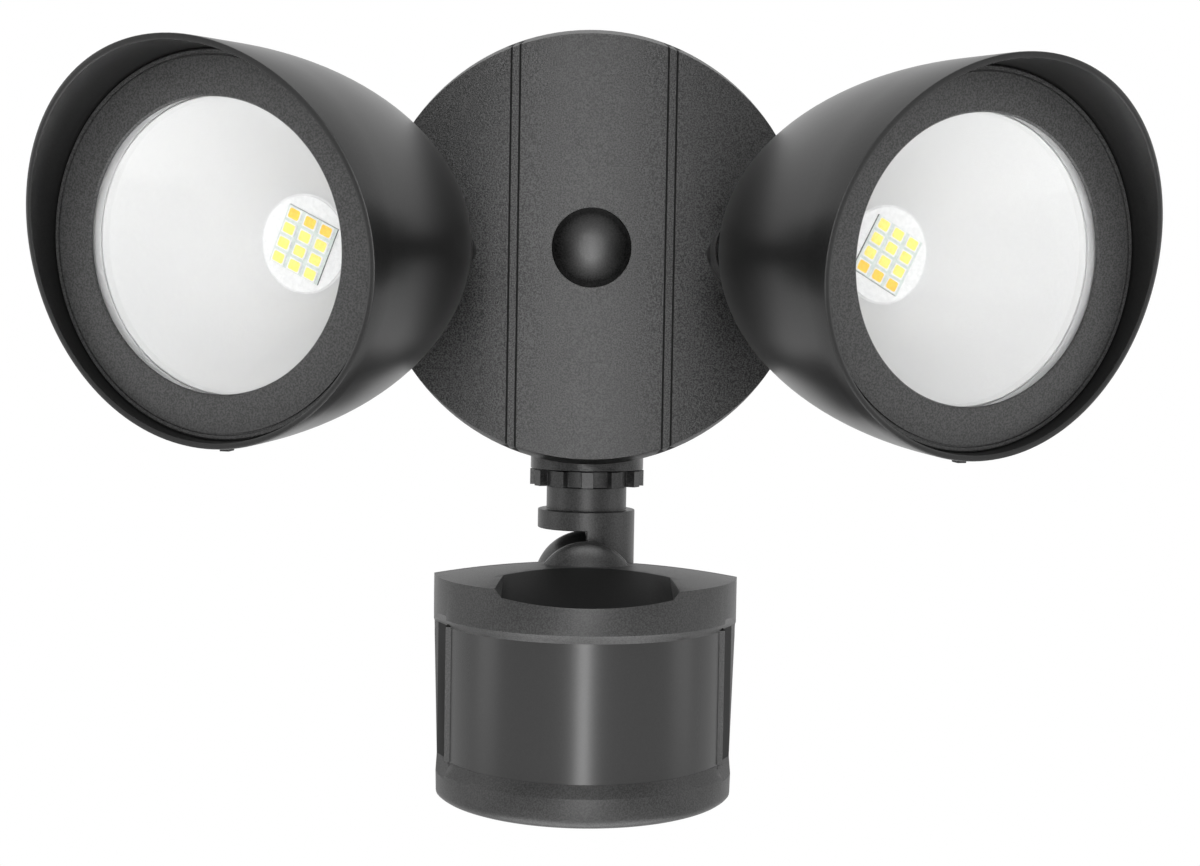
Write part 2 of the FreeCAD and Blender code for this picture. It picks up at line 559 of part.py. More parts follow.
# ---------------------------------------------------------------- sensor arm
def sensor_arm():
    stem = (0, "-stem_y", 0)

    def down(value):
        return (0, "-stem_y", "-(%s)" % value)

    shank = join(rod("stem_shank", "collar_height+21.4", down("stem_top+collar_height+0.9")),
                 rod("neck_radius", "flange_top-stem_top-collar_height-0.6", down("flange_top+0.1")),
                 rod("flange_radius", "flange_bottom-flange_top", down("flange_bottom")))
    lug = both(rod("flange_radius", "60", down("tilt_drop+flange_radius")),
               join(block("60", "60", "tilt_drop-flange_bottom+1", ("lap_gap", "-stem_y-30", "-tilt_drop")),
                    rod("flange_radius", "30", ("lap_gap", "-stem_y", "-tilt_drop"), RIGHT)))
    node(cut(join(shank, lug), rod("6.5", "flange_bottom-stem_top+20", down("flange_bottom-2")),
             ring("stem_shank+1", "stem_shank-1.3", "1.2", down("stem_top-16.1")),
             rod("screw_radius+0.05", "40", ("-1", "-stem_y", "-tilt_drop"), RIGHT),
             solid("Prism", ("9", "-stem_y", "-tilt_drop"), RIGHT, Circumradius="5.9", Height="12")),
         "sensor_arm")
    nut = toothed("collar_radius", "collar_tooth", "stem_shank+run_gap", "collar_height", 12, "3.4", None,
                  down("stem_top+collar_height+0.4"))
    node(group([nut]), "sensor_lock_nut")
    clip = retaining_clip("stem_shank-1.2", "stem_shank+2.6", "1", down("stem_top-16.2"), None)
    node(group([clip]), "sensor_arm_clip")
    node(join(cut(rod("screw_radius+1.4", "3.4", ("-16.5", "-stem_y", "-tilt_drop"), RIGHT),
                  block("1.8", "9", "1.2", ("-17.4", "-stem_y-4.5", "-tilt_drop-0.6"))),
              rod("screw_radius", "25.8", ("-13.2", "-stem_y", "-tilt_drop"), RIGHT)),
         "sensor_pivot_screw")
    node(cut(solid("Prism", ("9.05", "-stem_y", "-tilt_drop"), RIGHT, Circumradius="5.8", Height="3.2"),
             rod("screw_radius+0.05", "9", ("6", "-stem_y", "-tilt_drop"), RIGHT)), "sensor_pivot_nut")


# ---------------------------------------------------------------- sensor
def sensor_solid(inset, low, high):
    """The sensor's outer form, or the same form set in by a wall."""
    half = "(eye_radius-%s)" % inset
    plan = padded([("-" + half, "-eye_centre"), ("-" + half, "-2"),
                   ("-back_half+%s*0.6" % inset, "eye_back-%s" % inset),
                   ("back_half-%s*0.6" % inset, "eye_back-%s" % inset), (half, "-2"),
                   (half, "-eye_centre")], "200", None, (0, 0, "-100"))
    sides = padded([("-%s-0.2" % half, "40"), ("-%s-0.2" % half, high),
                    ("-%s+eye_taper" % half, low), (half + "-eye_taper", low),
                    (half + "+0.2", high), (half + "+0.2", "40")], "200", UPRIGHT, (0, 0, 0), True)
    side = padded([("-eye_radius-eye_centre-20", low), ("-5-%s/2" % inset, low),
                   ("eye_back-%s/2" % inset, "%s+back_rise" % low), ("eye_back-%s/2" % inset, "40"),
                   ("-eye_radius-eye_centre-20", "40")], "200", SIDE, (0, 0, 0), True)
    crown = solid("Sphere", (0, "-eye_centre", "%s-crown_radius" % high), None,
                  Radius="crown_radius")
    fall = solid("Cylinder", (0, "100", "%s-1.8-crown_radius*1.0075-100*tan(7)" % high),
                 Rot(V(1, 0, 0), 83), Radius="crown_radius", Height="300")
    return both(join(rod(half, "200", (0, "-eye_centre", "-100")), plan), sides, side, crown, fall)


def sensor_head():
    base = "placement(vector(0; -stem_y; -tilt_drop); rotation(vector(0; 0; 1); 0))"
    shell = sensor_solid("0", "-eye_bottom", "eye_top")
    room = sensor_solid("eye_wall", "-eye_bottom+eye_wall", "eye_top-eye_wall")
    scoops = []
    for sink in ("0", "eye_wall"):
        tray = padded([("-scoop_half-%s" % sink, "0"), ("-scoop_half-16-%s" % sink, "16"),
                       ("scoop_half+16+%s" % sink, "16"), ("scoop_half+%s" % sink, "0")],
                      "60", UPRIGHT)
        scoops.append(place(
            group([tray]),
            (0, "-eye_centre-5", "eye_top-8+(eye_radius-5)*tan(14.4)-%s" % sink),
            Rot(V(1, 0, 0), 14.4)))
    scoop, scoop_floor = scoops
    arch = rod("ear_radius-0.7", "3.5", (0, "-seam_ahead-0.9", "-0.8"), FRONT)
    front_half = block("120", "120", "160", ("-60", "-seam_ahead-0.3-120", "-100"))
    rear_half = block("120", "120", "160", ("-60", "-seam_ahead+0.3", "-100"))
    seam = block("120", "0.6", "160", ("-60", "-seam_ahead-0.3", "-100"))
    inner_room = cut(room, scoop_floor)
    topped = cut(shell, scoop)

    def swept(points, angle):
        """A turned sheet about the centre of the curved front, facing the front."""
        return place(group([turned(points, UPRIGHT, angle)]), (0, "-eye_centre", 0),
                     Rot(V(0, 0, 1), -90))

    window = swept([("eye_radius-eye_wall-6", "-window_top"), ("eye_radius-eye_wall", "-window_top"),
                    ("eye_radius+0.4", "-window_top+3"), ("eye_radius+8", "-window_top+3"),
                    ("eye_radius+8", "-window_bottom-4.2"), ("eye_radius+0.4", "-window_bottom-4.2"),
                    ("eye_radius-eye_wall", "-window_bottom"),
                    ("eye_radius-eye_wall-6", "-window_bottom")], "window_angle")
    facets, backs = [], []
    for way in (-1, 1):
        spot = ("%d*(eye_radius-0.05)" % way, "-eye_centre-3.7", 0)
        slant = Rot(V(0, 0, 1), -25.2 * way)
        edge = padded([(0, "-window_top"), ("%d*8" % way, "-window_top+11"),
                       ("%d*8" % way, "-window_bottom-13"), (0, "-window_bottom")], "17.6", UPRIGHT)
        facets.append(place(group([edge]), spot, slant))
        back = block("15", "16", "window_bottom+2", ("-2.4" if way > 0 else "-12.6", "-16",
                                                     "-window_bottom-6"))
        backs.append(place(group([back]), spot, slant))
    corners = ((-39, -12), (39, -12), (-39, -50), (39, -50))
    dial_spots = [(way + "dial_apart", "-dial_ahead") for way in ("-", "")]

    front_posts = [both(block("10", "11", "8", ("%d-5" % across, "-seam_ahead-11", "%d-4" % up)), room)
                   for across, up in corners]
    bulkhead = both(block("36", "2.5", "32", ("-18", "-seam_ahead-2.8", "-19")), topped)
    walls = [both(back, topped) for back in backs]
    front = join(both(join(cut(topped, inner_room), arch, bulkhead, *walls), front_half),
                 *front_posts)
    front = both(front, front_half)
    node(cut(front, window, *facets,
             *([rod("1.35", "10.6", (across, "-seam_ahead+1", up), FRONT) for across, up in corners]
               + [rod("dial_radius+0.4", "9", (across, along, "-eye_bottom-4"))
                  for across, along in dial_spots])),
         "sensor_front_housing", base)

    ear = both(solid("Sphere", (0, 0, 0), None, Radius="ear_radius"),
               block("60", "60", "60", ("-60-lap_gap", "-30", "-30")))
    core = both(rod("flange_radius+2.8", "36", ("-18", 0, 0), RIGHT), shell)
    rear_posts = [both(block("10", "30", "8", ("%d-5" % across, "-seam_ahead", "%d-4" % up)), shell)
                  for across, up in corners]
    board_posts = [both(rod("3", "60", (across, "20", "-46"), FRONT),
                        block("80", "60", "80", ("-40", "-board_ahead", "-60")), shell)
                   for across in (-24, 24)]
    rear = both(join(cut(shell, room), ear, core, *(rear_posts + board_posts)), rear_half)
    slots = [place(group([block("flange_radius+0.3+lap_gap", "2*flange_radius+0.6", "40",
                                ("-lap_gap", "-flange_radius-0.3", 0))]),
                   (0, 0, 0), Rot(V(1, 0, 0), lean)) for lean in (-15.5, 0, 4.5)]
    pocket = join(rod("flange_radius+0.3", "flange_radius+0.3+lap_gap", ("-lap_gap", 0, 0), RIGHT),
                  *slots)
    holes = [rod("1.6", "30", (across, "0", up), FRONT) for across, up in corners]
    holes += [rod("3", "30", (across, "26", up), FRONT) for across, up in corners]
    holes += [rod("1.1", "9", (across, "-board_ahead+8", "-46"), FRONT) for across in (-24, 24)]
    node(cut(rear, pocket, rod("screw_radius+0.05", "60", ("-30", 0, 0), RIGHT),
             rod("screw_radius+1.6", "11", ("-24", 0, 0), RIGHT), *holes), "sensor_rear_housing", base)

    seal = cut(both(sensor_solid("0.5", "-eye_bottom+0.5", "eye_top-0.5"), seam),
               sensor_solid("1.9", "-eye_bottom+1.9", "eye_top-1.9"),
               block("37", "20", "60", ("-18.5", "-30", "-19")))
    node(seal, "sensor_seal", base)
    node(group([swept([("eye_radius-eye_wall-1.6", "-window_top+2.5"),
                       ("eye_radius-eye_wall-0.05", "-window_top+2.5"),
                       ("eye_radius-eye_wall-0.05", "-window_bottom-3.5"),
                       ("eye_radius-eye_wall-1.6", "-window_bottom-3.5")], "window_angle-0.6")]),
         "pir_lens", base)

    rear_face = "-board_ahead"
    node(cut(block("60", "1.6", "34", ("-30", "-board_ahead-1.6", "-54")),
             rod("1.4", "9", ("-24", "-board_ahead+3", "-46"), FRONT),
             rod("1.4", "9", ("24", "-board_ahead+3", "-46"), FRONT)), "sensor_board", base)
    board_face = rear_face + "-1.6"
    node(join(rod("5", "0.6", (0, board_face, "-30"), FRONT),
              rod("4.6", "4.4", (0, board_face, "-30"), FRONT)), "pir_detector", base)
    node(group([rod("2.5", "2.2", ("17", board_face, "-27"), FRONT)]), "light_sensor", base)
    node(group([cut(block("9", "9", "6", (across + "-4.5", board_face + "-9", "-57")),
                    rod("1.56", "20", (across, along, "-62"))) for across, along in dial_spots]),
         "dial_potentiometers", base)
    for name, (across, along) in zip(("time_dial", "range_dial"), dial_spots):
        knob = join(rod("dial_radius", "3.2", (across, along, "-eye_bottom-1.4")),
                    rod("1.5", "6.5", (across, along, "-eye_bottom+1.7")))
        node(cut(knob, block("7", "1.2", "1.2", (across + "-3.5", along + "-0.6",
                                                  "-eye_bottom-1.9"))), name, base)
    node(group([join(rod("2.6", "1.8", (across, "-2.2", up), FRONT),
                     rod("1.3", "20.5", (across, "-3.9", up), FRONT)) for across, up in corners]
               + [join(rod("2.4", "1.2", (across, "-board_ahead-1.6", "-46"), FRONT),
                       rod("1.05", "7", (across, "-board_ahead+5.2", "-46"), FRONT))
                  for across in (-24, 24)]), "sensor_screws", base)


canopy()
for side, way in (("left", -1), ("right", 1)):
    lamp_head(side, way)
sensor_arm()
sensor_head()

doc.recompute()
faults = [item.Name for item in doc.Objects if "Invalid" in item.State or "Error" in item.State]
for item in NODES:
    if item.Shape.isNull() or not item.Shape.isValid():
        faults.append(item.Label)
if faults:
    raise RuntimeError("faults in: " + ", ".join(faults))
os.makedirs("parts", exist_ok=True)
for item in NODES:
    item.Shape.exportStep("parts/%s.step" % item.Label)
print(len(NODES), "nodes")
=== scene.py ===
import json
import math

import bmesh
import bpy
from mathutils import Matrix, Vector

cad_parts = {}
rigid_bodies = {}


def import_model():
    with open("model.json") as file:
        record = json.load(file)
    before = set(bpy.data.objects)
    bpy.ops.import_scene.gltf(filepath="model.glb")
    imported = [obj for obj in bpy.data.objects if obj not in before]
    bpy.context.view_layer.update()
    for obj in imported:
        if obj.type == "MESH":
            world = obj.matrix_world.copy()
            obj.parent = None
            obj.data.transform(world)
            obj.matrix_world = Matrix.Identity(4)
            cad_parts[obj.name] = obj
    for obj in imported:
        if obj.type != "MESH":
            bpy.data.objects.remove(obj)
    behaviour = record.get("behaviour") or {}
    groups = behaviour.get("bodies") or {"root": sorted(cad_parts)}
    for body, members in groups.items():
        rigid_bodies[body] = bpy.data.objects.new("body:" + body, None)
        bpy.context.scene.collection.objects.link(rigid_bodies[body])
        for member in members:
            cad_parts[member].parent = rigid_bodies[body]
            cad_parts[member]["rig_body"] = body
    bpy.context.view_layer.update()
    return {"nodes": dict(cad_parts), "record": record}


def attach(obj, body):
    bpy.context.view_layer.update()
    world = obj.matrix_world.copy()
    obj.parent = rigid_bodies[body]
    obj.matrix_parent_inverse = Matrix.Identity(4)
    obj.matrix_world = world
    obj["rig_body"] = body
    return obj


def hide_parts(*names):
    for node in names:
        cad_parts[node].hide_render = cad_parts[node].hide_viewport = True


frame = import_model()
NODES = frame["nodes"]
MM = 0.001

# Sizes of the light in millimetres, as in the CAD part.
YAW, PITCH, REACH = math.radians(23), math.radians(5.5), 17.0
BOSS, BOSS_R = (45.3, -60.7, -1.2), 10.8
HEAD_R, FACE, BAND, DOME, BACK = 45.0, 88.0, 2.0, 89.97, 10.2
WINDOW, GLASS = 33.0, 37.4
HOOD, VISOR_TOP, VISOR_SIDE, VISOR_R, VISOR_LEAN = 1.5, 15.4, 6.8, 323.0, 0.743
EAR_R, EAR_WIDE, EAR_X = 9.6, 8.5, -4.35
BEZEL_DEEP, BEZEL_LIP = 4.8, 1.8
CONE_START, CONE_DEEP, CONE_HOLE, CONE_WALL = 6.0, 33.5, 12.2, 1.2
BOARD_BACK = 39.5
CANOPY_R, CANOPY_DEPTH, CANOPY_EDGE, BOW = 63.5, 48.0, 2.2, 420.0
GROOVES, GROOVE_CUT = (24.1, 21.55), 0.6
PLUG_R, PLUG_GAP = 11.6, 0.05
EYE_LOW, EYE_HIGH, EYE_MID = -161.7, -92.5, -38.0

# Sizes in which the looks depart from the CAD part, in millimetres. The part's value is beside each.
PLUG_RISE = 2.9                     # 3.6
CONE_MOUTH = GLASS - 4.0            # GLASS - 3.6
BOARD_TURN = math.radians(26)       # 22 degrees
LAMP_LONG, LAMP_WIDE = 3.7, 3.1     # 3.5 and 2.8
LAMP_PITCH = (4.85, 3.82)           # 5.2 and 4.0

# Sizes that the looks alone have, in millimetres.
BOARD_R = 11.7              # disc that the lamp plate lies on
EYE_ROUND = 3.0             # rounding of the sensor's lower outline
EYE_R = 44.8                # the sensor's skin lies outside this radius in front
EYE_SIDE, EYE_LEAN = 42.9, 2.5      # and outside this half width, which grows towards the top
FLANK = 43.3                # half width up to which the sensor's side recess gets painted shade, a dark colour for the shade in it
SHANK_R = 5.2               # a head arm's shank inside the canopy
ARCH_AT, ARCH_SIZE, ARCH_FOOT = (0, -46.3, -101.4), (15.0, 7.0, 15.0), -96.0
FRAME_MID, FRAME_TALL, FRAME_FRONT = -130.2, 39.4, -56.1


# ------------------------------------------------------------------ materials
def shader(name):
    mat = bpy.data.materials.new(name)
    mat.use_nodes = True
    tree = mat.node_tree
    coord = tree.nodes.new("ShaderNodeTexCoord")
    return mat, tree, tree.nodes["Principled BSDF"], coord.outputs["Object"]


def noise(tree, coord, scale, detail=2.0, rough=0.5):
    node = tree.nodes.new("ShaderNodeTexNoise")
    node.inputs["Scale"].default_value = scale
    node.inputs["Detail"].default_value = detail
    node.inputs["Roughness"].default_value = rough
    tree.links.new(coord, node.inputs["Vector"])
    return node.outputs["Fac"]


def ramp(tree, value, low, high, start=0.3, end=0.7):
    """Maps a value between start and end to the range from low to high."""
    node = tree.nodes.new("ShaderNodeMapRange")
    node.inputs["From Min"].default_value = start
    node.inputs["From Max"].default_value = end
    node.inputs["To Min"].default_value = low
    node.inputs["To Max"].default_value = high
    tree.links.new(value, node.inputs["Value"])
    return node.outputs["Result"]


def blend(tree, fac, one, two):
    node = tree.nodes.new("ShaderNodeMix")
    node.data_type = "RGBA"
    node.inputs["A"].default_value = (*one, 1)
    node.inputs["B"].default_value = (*two, 1)
    tree.links.new(fac, node.inputs["Factor"])
    return node.outputs["Result"]


def bump(tree, height, strength, distance, bsdf):
    node = tree.nodes.new("ShaderNodeBump")
    node.inputs["Strength"].default_value = strength
    node.inputs["Distance"].default_value = distance
    tree.links.new(height, node.inputs["Height"])
    tree.links.new(node.outputs["Normal"], bsdf.inputs["Normal"])


def finish(name, one, two, rough, scale, grain=0.0, depth=0.0, metal=0.0, spec=0.5, sway=0.02):
    """A procedural finish: two tones in a noise, a roughness that sways and a fine bump."""
    mat, tree, bsdf, coord = shader(name)
    fine = noise(tree, coord, scale, 3.0, 0.6)
    tree.links.new(blend(tree, ramp(tree, fine, 0, 1, 0.4, 0.6), one, two), bsdf.inputs["Base Color"])
    broad = noise(tree, coord, 60.0, 2.0)
    tree.links.new(ramp(tree, broad, rough - sway, rough + sway, 0.0, 1.0), bsdf.inputs["Roughness"])
    bsdf.inputs["Metallic"].default_value = metal
    bsdf.inputs["Specular IOR Level"].default_value = spec
    if grain:
        bump(tree, noise(tree, coord, scale, 2.0, 0.7), grain, depth, bsdf)
    return mat


def glass(name):
    """Clear glass that lets the lamps shine through to the reflector."""
    mat, tree, bsdf, coord = shader(name)
    tree.links.new(blend(tree, noise(tree, coord, 20.0), (0.97, 0.98, 0.98), (1, 1, 1)),
                   bsdf.inputs["Base Color"])
    tree.links.new(ramp(tree, noise(tree, coord, 35.0), 0.01, 0.03), bsdf.inputs["Roughness"])
    bsdf.inputs["IOR"].default_value = 1.5
    bsdf.inputs["Transmission Weight"].default_value = 1.0
    path = tree.nodes.new("ShaderNodeLightPath")
    clear = tree.nodes.new("ShaderNodeBsdfTransparent")
    pick = tree.nodes.new("ShaderNodeMixShader")
    tree.links.new(path.outputs["Is Shadow Ray"], pick.inputs["Fac"])
    tree.links.new(bsdf.outputs["BSDF"], pick.inputs[1])
    tree.links.new(clear.outputs["BSDF"], pick.inputs[2])
    tree.links.new(pick.outputs["Shader"], tree.nodes["Material Output"].inputs["Surface"])
    return mat


def painted_rim_shade(mat, inner, outer, low, high):
    """Paints shade on the rim of a round piece about the Y axis and a highlight in its middle, by lowering
    its specular level from the middle to the rim.
    """
    tree = mat.node_tree
    coord, split = tree.nodes.new("ShaderNodeTexCoord"), tree.nodes.new("ShaderNodeSeparateXYZ")
    flat, reach = tree.nodes.new("ShaderNodeCombineXYZ"), tree.nodes.new("ShaderNodeVectorMath")
    reach.operation = "LENGTH"
    tree.links.new(coord.outputs["Object"], split.inputs[0])
    tree.links.new(split.outputs["X"], flat.inputs["X"])
    tree.links.new(split.outputs["Z"], flat.inputs["Y"])
    tree.links.new(flat.outputs["Vector"], reach.inputs[0])
    level = ramp(tree, reach.outputs["Value"], high, low, inner * MM, outer * MM)
    tree.links.new(level, tree.nodes["Principled BSDF"].inputs["Specular IOR Level"])


def grey(value):
    return (value, value, value)


# Name: two tones, roughness, noise scale, then bump strength and depth, and other options.
FINISHES = {
    "textured_black": (grey(0.000), grey(0.042), 0.29, 2300, 0.6, 0.00010, dict(spec=0.31)),
    "bezel_coat": (grey(0.022), grey(0.064), 0.42, 2300, 0.6, 0.00012, dict(spec=0.46)),
    "shell_black": (grey(0.006), grey(0.010), 0.31, 1800, 0.12, 0.00005, dict(spec=0.42)),
    "sensor_plastic": (grey(0.002), grey(0.028), 0.42, 2300, 0.5, 0.00010, {}),
    "arm_coat": (grey(0.004), grey(0.036), 0.38, 2300, 0.6, 0.00010, dict(spec=0.46)),
    # Painted shade: a near black that stands for the shade in grooves, recesses and gaps.
    "painted_shade_black": (grey(0.003), grey(0.006), 0.55, 1500, 0.2, 0.00006, dict(spec=0.12)),
    "window_dark": (grey(0.021), grey(0.024), 0.27, 2400, 0, 0, dict(spec=0.45, sway=0.004)),
    "white_cone": (grey(0.55), grey(0.57), 0.45, 1600, 0, 0, {}),
    "white_board": (grey(0.58), grey(0.64), 0.45, 700, 0, 0, {}),
    "heat_metal": (grey(0.62), grey(0.70), 0.38, 900, 0.2, 0.00005, dict(metal=1.0)),
    "board_green": ((0.02, 0.16, 0.06), (0.03, 0.22, 0.09), 0.4, 500, 0, 0, {}),
    "part_grey": (grey(0.05), grey(0.09), 0.4, 400, 0, 0, {}),
    "plug_rubber": (grey(0.001), grey(0.010), 0.38, 2300, 0.5, 0.00010, {}),
    "rubber_black": (grey(0.020), grey(0.034), 0.5, 1500, 0.3, 0.0001, {}),
    "zinc_steel": (grey(0.52), grey(0.66), 0.34, 800, 0.15, 0.00004, dict(metal=1.0)),
    "green_screw": ((0.04, 0.24, 0.08), (0.06, 0.32, 0.11), 0.35, 800, 0, 0, dict(metal=0.8)),
    "can_steel": (grey(0.66), grey(0.74), 0.24, 600, 0, 0, dict(metal=1.0)),
    "dial_white": (grey(0.66), grey(0.74), 0.45, 900, 0, 0, {}),
    "package_white": (grey(0.68), grey(0.74), 0.4, 900, 0, 0, {}),
    "phosphor": ((0.86, 0.70, 0.12), (0.90, 0.76, 0.17), 0.42, 1400, 0, 0, {}),
    "phosphor_deep": ((0.85, 0.50, 0.02), (0.88, 0.58, 0.05), 0.42, 1400, 0, 0, {}),
    "lamp_bed": ((0.50, 0.56, 0.53), (0.58, 0.63, 0.60), 0.4, 900, 0, 0, {}),
    # Painted shade for the sides of the lamp bed.
    "bed_edge_shade": ((0.05, 0.06, 0.055), (0.10, 0.11, 0.105), 0.4, 900, 0, 0, {}),
}
MATS = {name: finish(name, *values[:-1], **values[-1]) for name, values in FINISHES.items()}
MATS["clear_glass"] = glass("clear_glass")
# Painted shade at the plug's rim and a painted highlight in its middle, through its specular level.
painted_rim_shade(MATS["plug_rubber"], 3.5, 10.0, 0.04, 0.75)
SLOTS = {entry["node"]: entry["material_slot"] for entry in frame["record"]["subparts"]}
for name, item in NODES.items():
    item.data.materials.clear()
    item.data.materials.append(MATS[SLOTS[name]])


# ------------------------------------------------------------------ shaping tools
def put(name, bm, mats, body, node=None, sharp=35):
    """Turns a bmesh in the row frame into a piece that rides on a body and stands for a node."""
    mesh = bpy.data.meshes.new(name)
    bm.to_mesh(mesh)
    bm.free()
    for mat in mats:
        mesh.materials.append(MATS[mat])
    for poly in mesh.polygons:
        poly.use_smooth = True
    mesh.set_sharp_from_angle(angle=math.radians(sharp))
    item = bpy.data.objects.new(name, mesh)
    bpy.context.scene.collection.objects.link(item)
    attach(item, body)
    if node:
        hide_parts(node)
    return item


def boss_matrix(way):
    return Matrix.Translation(Vector((way * BOSS[0], BOSS[1], BOSS[2])) * MM)


def head_matrix(way):
    """Places a head, with its pivot at the origin and its axis along -Y."""
    return (boss_matrix(way) @ Matrix.Rotation(way * YAW, 4, "Z")
            @ Matrix.Translation((0, -REACH * MM, 0)) @ Matrix.Rotation(PITCH, 4, "X"))


def spin(bm, profile, steps, matrix, closed=True):
    """Turns a profile about the local Y axis. A point is (radius, y) or a function of the angle."""
    rings = []
    for k in range(steps):
        turn = 2 * math.pi * k / steps
        ring = []
        for point in profile:
            radius, along = point(turn) if callable(point) else point
            spot = Vector((radius * math.cos(turn), along, radius * math.sin(turn)))
            ring.append(bm.verts.new(matrix @ (spot * MM)))
        rings.append(ring)
    count = len(profile)
    for k in range(steps):
        here, there = rings[k], rings[(k + 1) % steps]
        for j in range(count if closed else count - 1):
            bm.faces.new((here[j], there[j], there[(j + 1) % count], here[(j + 1) % count]))


def block(bm, size, at, place=None):
    """Adds a box of a size at a place, in millimetres, and gives its faces."""
    verts = bmesh.ops.create_cube(bm, size=1)["verts"]
    matrix = Matrix.Translation(Vector(at) * MM) @ Matrix.Diagonal((*(side * MM for side in size), 1))
    bmesh.ops.transform(bm, matrix=matrix if place is None else place @ matrix, verts=verts)
    return list(dict.fromkeys(face for vert in verts for face in vert.link_faces))


def whole(bm):
    return bm.verts[:] + bm.edges[:] + bm.faces[:]


def with_edges(faces):
    """Faces with their edges and corners, each once."""
    edges = dict.fromkeys(edge for face in faces for edge in face.edges)
    verts = dict.fromkeys(vert for face in faces for vert in face.verts)
    return list(faces) + list(edges) + list(verts)


def split(bm, geom, point, normal, **options):
    return bmesh.ops.bisect_plane(bm, geom=geom, dist=1e-7, plane_co=point, plane_no=normal,
                                  **options)["geom"]


# ------------------------------------------------------------------ shapes laid over the CAD copies
def bow_at(x):
    return BOW - CANOPY_DEPTH - math.sqrt(BOW ** 2 - x ** 2)


def canopy_rim(turn):
    """Radius at which the bowed front meets the canopy's sloping edge."""
    radius = CANOPY_R
    for _ in range(12):
        radius = min(CANOPY_R, CANOPY_R - CANOPY_EDGE + (bow_at(radius * math.cos(turn)) + CANOPY_DEPTH + 1)
                     * CANOPY_EDGE / (CANOPY_EDGE + 2))
    return radius


def smooth_bow(bm):
    """Lays the canopy's bowed front anew as a regular patch, open at the grooves and the plug."""
    old = []
    for face in bm.faces:
        spot = face.calc_center_median() / MM
        if face.normal.y < -0.985 and abs(spot.y - bow_at(spot.x)) < 0.12:
            old.append(face)
    bmesh.ops.delete(bm, geom=old, context="FACES")
    for vert in bm.verts:   # the posts inside end behind the patch
        x, y, z = vert.co / MM
        if abs(x) < 60 and abs(z) > 20 and y < bow_at(x) - 0.05:
            vert.co.y = (bow_at(x) + 0.4) * MM

    steps, rows, inner, rings = 288, 26, PLUG_R + PLUG_GAP, []
    for k in range(steps):
        turn = 2 * math.pi * k / steps
        rim, ring = canopy_rim(turn), []
        for j in range(rows + 1):
            radius = inner + (rim - inner) * j / rows
            x, z = radius * math.cos(turn), radius * math.sin(turn)
            ring.append(bm.verts.new(Vector((x, bow_at(x), z)) * MM))
        rings.append(ring)
    fresh = []
    for here, there in zip(rings, rings[1:] + rings[:1]):
        for j in range(rows):
            fresh.append(bm.faces.new((here[j], there[j], there[j + 1], here[j + 1])))

    for centre in GROOVES:
        for way in (-1, 1):
            for side in (-1, 1):
                at = way * (centre + side * GROOVE_CUT / 2) * MM
                cut = split(bm, with_edges(fresh), (at, 0, 0), (1, 0, 0))
                fresh = [item for item in cut if isinstance(item, bmesh.types.BMFace)]
    slots = [face for face in fresh if any(
        abs(abs(face.calc_center_median().x) / MM - centre) < GROOVE_CUT / 2 for centre in GROOVES)]
    bmesh.ops.delete(bm, geom=slots, context="FACES")
    fresh = [face for face in fresh if face.is_valid]
    bmesh.ops.recalc_face_normals(bm, faces=fresh)
    for face in fresh:
        face.normal_update()
        if face.normal.y > 0:
            face.normal_flip()


def round_under(bm):
    """Rounds the sensor's lower outline, as its moulding is."""
    for rise in (0.1, 0.35, 0.8, 1.5, 2.2, EYE_ROUND):
        split(bm, whole(bm), (0, 0, (EYE_LOW + rise) * MM), (0, 0, 1))
    for x in (-FLANK, FLANK):
        faces = [face for face in bm.faces if abs(face.normal.x) > 0.85 and face.normal.y < -0.3]
        split(bm, with_edges(faces), (x * MM, 0, 0), (1, 0, 0))
    bm.normal_update()
    moves = []
    for vert in bm.verts:
        x, y, z = vert.co / MM
        rise = z - EYE_LOW
        side = EYE_SIDE + EYE_LEAN * rise / (EYE_HIGH - EYE_LOW)
        outer = (y < EYE_MID and math.hypot(x, y - EYE_MID) > EYE_R) or abs(x) > side - 0.25
        out = Vector((vert.normal.x, vert.normal.y, 0))
        if outer and rise < EYE_ROUND and out.length > 0.2:
            back = EYE_ROUND - math.sqrt(EYE_ROUND ** 2 - (EYE_ROUND - max(0, rise)) ** 2)
            moves.append((vert, out.normalized() * back * MM))
    for vert, step in moves:
        vert.co -= step


def slim_shank(bm, way):
    """Keeps a head arm's shank inside the side of its boss on the canopy."""
    start = boss_matrix(way).translation
    inward = Vector((-way * math.sin(YAW), math.cos(YAW), 0))
    for depth in (5.0, 5.5, 22.0):
        split(bm, whole(bm), start + inward * depth * MM, inward)
    for vert in bm.verts:
        step = vert.co - start
        out = step - inward * step.dot(inward)
        if 5.4 < step.dot(inward) / MM < 22.1 and out.length > SHANK_R * MM:
            vert.co -= out - out.normalized() * SHANK_R * MM


SHAPERS = {
    "canopy_housing": smooth_bow,
    "left_arm": lambda bm: slim_shank(bm, -1),
    "right_arm": lambda bm: slim_shank(bm, 1),
    "sensor_front_housing": round_under,
    "sensor_rear_housing": round_under,
}


def groove_face(spot, facing):
    """True on the floors and walls of the canopy's grooves, which get painted shade: a near black for the
    shade in them.
    """
    return any(abs(abs(spot.x) - centre) < GROOVE_CUT / 2 + 0.05 for centre in GROOVES) \
        and bow_at(spot.x) + 0.05 < spot.y < -44


